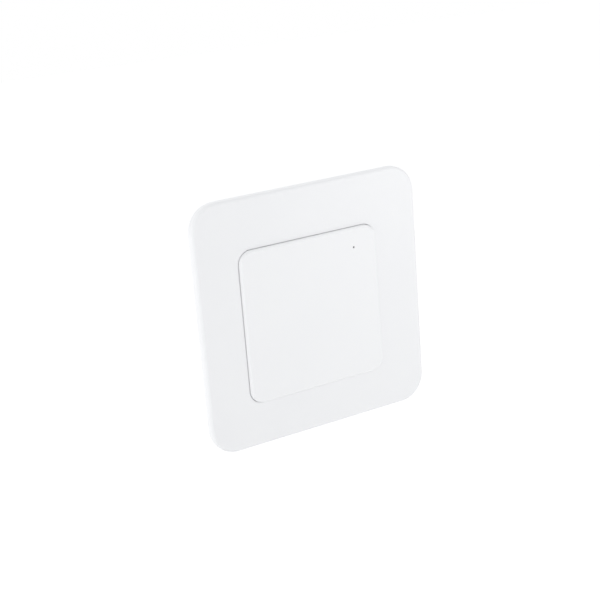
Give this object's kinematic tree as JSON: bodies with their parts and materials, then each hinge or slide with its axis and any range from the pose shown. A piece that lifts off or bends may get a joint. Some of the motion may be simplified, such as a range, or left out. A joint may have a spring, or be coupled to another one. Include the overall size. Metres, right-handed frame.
{
  "type": "ceiling access point",
  "caption": "Flush square wireless access point with a raised cover, a magnetic trim frame and a recessed body held by swing-out clamps.",
  "frame": {"origin": "centre of the ceiling surface, at the middle of the cut-out", "axes": "-Y out of the face into the room, +Y into the ceiling void, +Z towards the edge that is uppermost when the plate stands upright, +X to the right seen from the room"},
  "size_m": [0.22, 0.0583, 0.22],
  "materials": {
    "trim_white": "fine satin moulded, painted white",
    "radome_white": "fine satin moulded white",
    "tub_grey": "light grey moulded",
    "foam": "closed-cell foam",
    "nickel": "nickel plated",
    "steel": "zinc plated steel",
    "brass": "stamped or turned brass",
    "black_plastic": "glass-filled nylon",
    "clear_plastic": "clear moulded light guide",
    "led_ceramic": "surface-mount lamp body",
    "board_green": "solder mask over glass fibre",
    "chip_black": "moulded chip package",
    "thermal_rubber": "soft thermal pad",
    "aluminium": "die cast, bead blasted"
  },
  "bodies": {
    "housing": {"front_cover": "radome_white", "mounting_flange": "tub_grey", "rear_housing": "tub_grey", "foam_seal": "foam", "uplink_jack": "nickel", "second_jack": "nickel", "shield_can_left": "nickel", "shield_can_right": "nickel", "strike_plate_1": "steel", "strike_plate_2": "steel", "strike_plate_3": "steel", "strike_plate_4": "steel", "board_screw_1": "steel", "board_screw_2": "steel", "board_screw_3": "steel", "board_screw_4": "steel", "heat_sink_screw_1": "steel", "heat_sink_screw_2": "steel", "heat_sink_screw_3": "steel", "heat_sink_screw_4": "steel", "antenna_1": "brass", "antenna_2": "brass", "antenna_3": "brass", "antenna_4": "brass", "light_pipe": "clear_plastic", "status_led": "led_ceramic", "main_board": "board_green", "processor": "chip_black", "line_transformer_1": "chip_black", "line_transformer_2": "chip_black", "power_inductor": "chip_black", "reset_switch": "chip_black", "thermal_pad": "thermal_rubber", "heat_sink": "aluminium", "capacitor_1": "aluminium", "capacitor_2": "aluminium"},
    "trim": {"trim_frame": "trim_white", "trim_magnet_1": "nickel", "trim_magnet_2": "nickel", "trim_magnet_3": "nickel", "trim_magnet_4": "nickel"},
    "reset": {"reset_button": "black_plastic"},
    "screw_1": {"clamp_screw_1": "steel", "clamp_clip_1": "steel"},
    "carriage_1": {"clamp_insert_1": "brass"},
    "leg_1": {"clamp_leg_1": "black_plastic"},
    "screw_2": {"clamp_screw_2": "steel", "clamp_clip_2": "steel"},
    "carriage_2": {"clamp_insert_2": "brass"},
    "leg_2": {"clamp_leg_2": "black_plastic"},
    "screw_3": {"clamp_screw_3": "steel", "clamp_clip_3": "steel"},
    "carriage_3": {"clamp_insert_3": "brass"},
    "leg_3": {"clamp_leg_3": "black_plastic"},
    "screw_4": {"clamp_screw_4": "steel", "clamp_clip_4": "steel"},
    "carriage_4": {"clamp_insert_4": "brass"},
    "leg_4": {"clamp_leg_4": "black_plastic"}
  },
  "joints": [
    {"name": "trim_pull", "type": "slide", "parent": "housing", "child": "trim", "axis": [0, -1, 0], "range_m": [0, 0.06]},
    {"name": "reset_press", "type": "slide", "parent": "housing", "child": "reset", "axis": [0, -1, 0], "range_m": [0, 0.0006], "stiffness_N_per_m": 1500, "springref_m": -0.0003},
    {"name": "screw_turn_1", "type": "hinge", "parent": "housing", "child": "screw_1", "pos_m": [0.0755, 0, 0.028], "axis": [0, 1, 0], "range_deg": [0, 2520]},
    {"name": "clamp_travel_1", "type": "slide", "parent": "housing", "child": "carriage_1", "axis": [0, -1, 0], "range_m": [0, 0.014]},
    {"name": "leg_swing_1", "type": "hinge", "parent": "carriage_1", "child": "leg_1", "pos_m": [0.0755, 0, 0.028], "axis": [0, 1, 0], "range_deg": [0, 90]},
    {"name": "screw_turn_2", "type": "hinge", "parent": "housing", "child": "screw_2", "pos_m": [-0.0755, 0, -0.028], "axis": [0, 1, 0], "range_deg": [0, 2520]},
    {"name": "clamp_travel_2", "type": "slide", "parent": "housing", "child": "carriage_2", "axis": [0, -1, 0], "range_m": [0, 0.014]},
    {"name": "leg_swing_2", "type": "hinge", "parent": "carriage_2", "child": "leg_2", "pos_m": [-0.0755, 0, -0.028], "axis": [0, 1, 0], "range_deg": [0, 90]},
    {"name": "screw_turn_3", "type": "hinge", "parent": "housing", "child": "screw_3", "pos_m": [0.0755, 0, -0.052], "axis": [0, 1, 0], "range_deg": [0, 2520]},
    {"name": "clamp_travel_3", "type": "slide", "parent": "housing", "child": "carriage_3", "axis": [0, -1, 0], "range_m": [0, 0.014]},
    {"name": "leg_swing_3", "type": "hinge", "parent": "carriage_3", "child": "leg_3", "pos_m": [0.0755, 0, -0.052], "axis": [0, 1, 0], "range_deg": [0, 90]},
    {"name": "screw_turn_4", "type": "hinge", "parent": "housing", "child": "screw_4", "pos_m": [-0.0755, 0, 0.052], "axis": [0, 1, 0], "range_deg": [0, 2520]},
    {"name": "clamp_travel_4", "type": "slide", "parent": "housing", "child": "carriage_4", "axis": [0, -1, 0], "range_m": [0, 0.014]},
    {"name": "leg_swing_4", "type": "hinge", "parent": "carriage_4", "child": "leg_4", "pos_m": [-0.0755, 0, 0.052], "axis": [0, 1, 0], "range_deg": [0, 90]}
  ],
  "couplings": [
    {"joint": "screw_turn_1", "follows": "clamp_travel_1", "rad_per_m": 3141.6},
    {"joint": "screw_turn_2", "follows": "clamp_travel_2", "rad_per_m": 3141.6},
    {"joint": "screw_turn_3", "follows": "clamp_travel_3", "rad_per_m": 3141.6},
    {"joint": "screw_turn_4", "follows": "clamp_travel_4", "rad_per_m": 3141.6}
  ]
}
